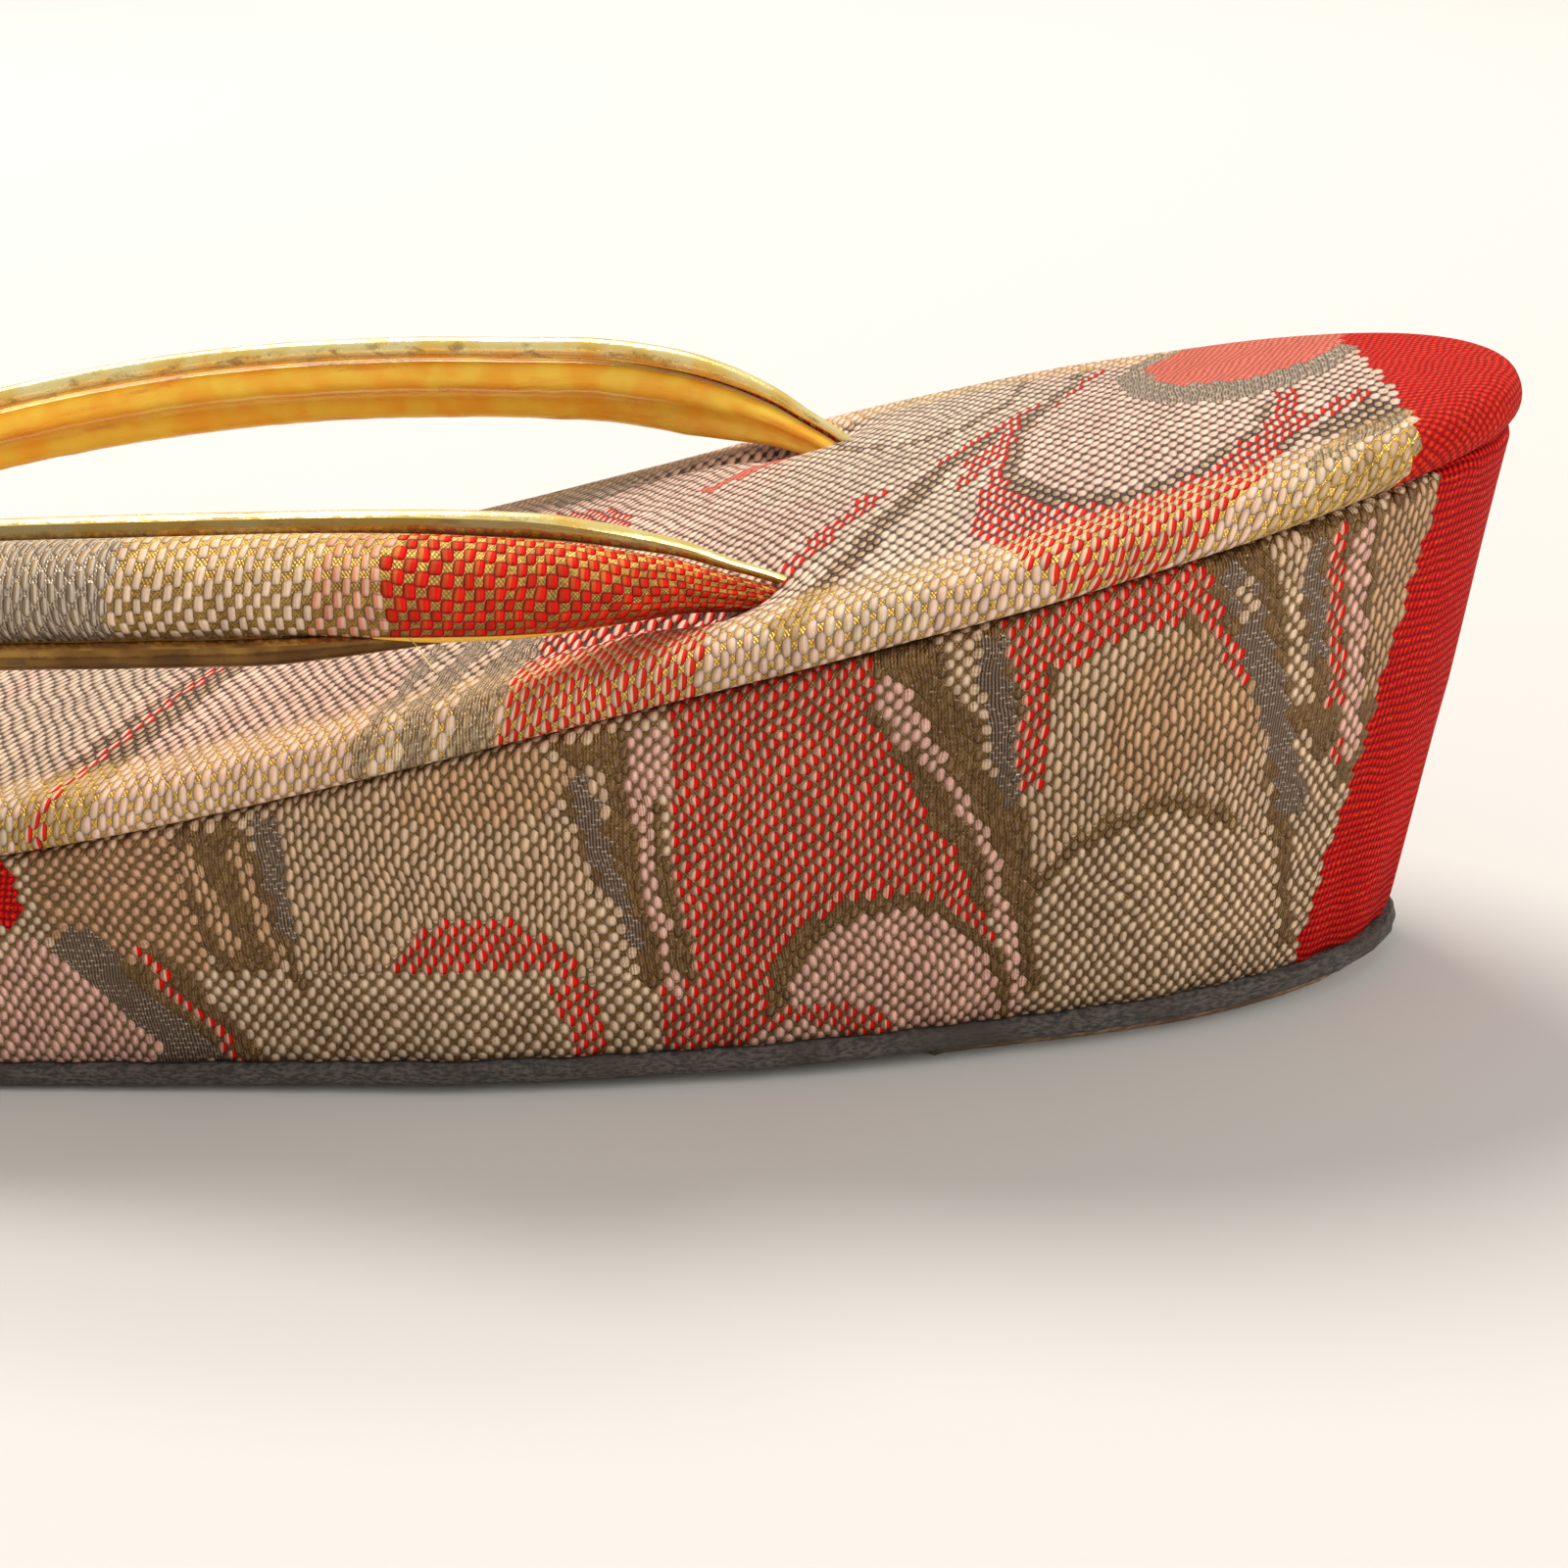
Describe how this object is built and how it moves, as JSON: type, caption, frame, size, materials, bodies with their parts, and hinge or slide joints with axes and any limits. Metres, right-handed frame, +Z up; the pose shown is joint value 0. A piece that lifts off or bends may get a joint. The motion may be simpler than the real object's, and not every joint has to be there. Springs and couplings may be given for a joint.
{
  "type": "zori sandal",
  "caption": "Formal wedge sandal covered in marbled brocade, with a stuffed V strap edged in gold piping, a toe loop and a flat leather sole with a heel lift.",
  "frame": {"origin": "on the floor under the middle of the footbed's outline", "axes": "+Y from heel to toe, +X to the wearer's right, +Z up"},
  "size_m": [0.0812, 0.24, 0.0559],
  "materials": {
    "brocade": "float-woven brocade on an olive gold ground",
    "gilt_leather": "crinkled gold foil, glossy",
    "sole_leather": "dark, matte, fuzzy at its edge",
    "heel_leather": "tan, matte, worn"
  },
  "bodies": {
    "root": {"outsole": "sole_leather", "heel_lift": "heel_leather", "wedge_midsole": "brocade", "footbed": "brocade", "strap_face": "brocade", "strap_lining": "gilt_leather", "piping_upper": "gilt_leather", "piping_lower": "gilt_leather", "toe_loop": "brocade"}
  },
  "joints": []
}
